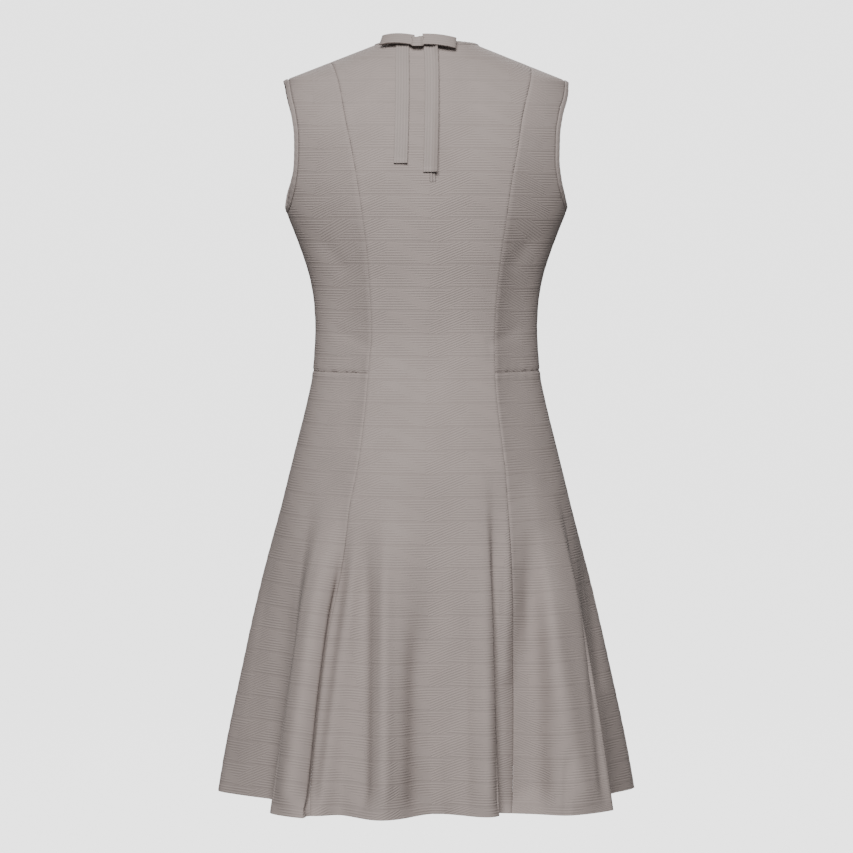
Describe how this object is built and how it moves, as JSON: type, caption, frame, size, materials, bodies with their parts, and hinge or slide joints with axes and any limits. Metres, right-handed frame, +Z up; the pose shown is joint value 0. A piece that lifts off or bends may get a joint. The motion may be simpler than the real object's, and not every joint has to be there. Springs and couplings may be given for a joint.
{
  "type": "golf dress",
  "caption": "Sleeveless flared golf dress, filled out as worn and hollow, with princess seams, bound armholes and neck, and a small ribbon bow at the back neck.",
  "frame": {"origin": "midway between the shoulders, level with the middle of the shoulder seams, where a wearer holds the dress up", "axes": "+Z up towards the neck, +Y out of the back of the dress, +X towards the wearer's left"},
  "size_m": [0.4762, 0.3845, 0.86],
  "materials": {
    "cloth": "taupe grey knit jacquard with a fine zigzag wedge rib, matt with a faint sheen",
    "binding": "plain fine knit binding in the cloth's colour, matt",
    "ribbon": "ribbed ribbon in the cloth's colour, soft sheen"
  },
  "bodies": {
    "root": {"back_centre": "cloth", "side_back_bodice_left": "cloth", "side_back_bodice_right": "cloth", "side_back_skirt_left": "cloth", "side_back_skirt_right": "cloth", "front_bodice": "cloth", "front_skirt": "cloth", "armhole_binding_left": "binding", "armhole_binding_right": "binding", "neck_binding": "binding", "back_zip": "binding", "bow_knot": "ribbon", "bow_loop_left": "ribbon", "bow_loop_right": "ribbon", "bow_tail_left": "ribbon", "bow_tail_right": "ribbon"}
  },
  "joints": []
}
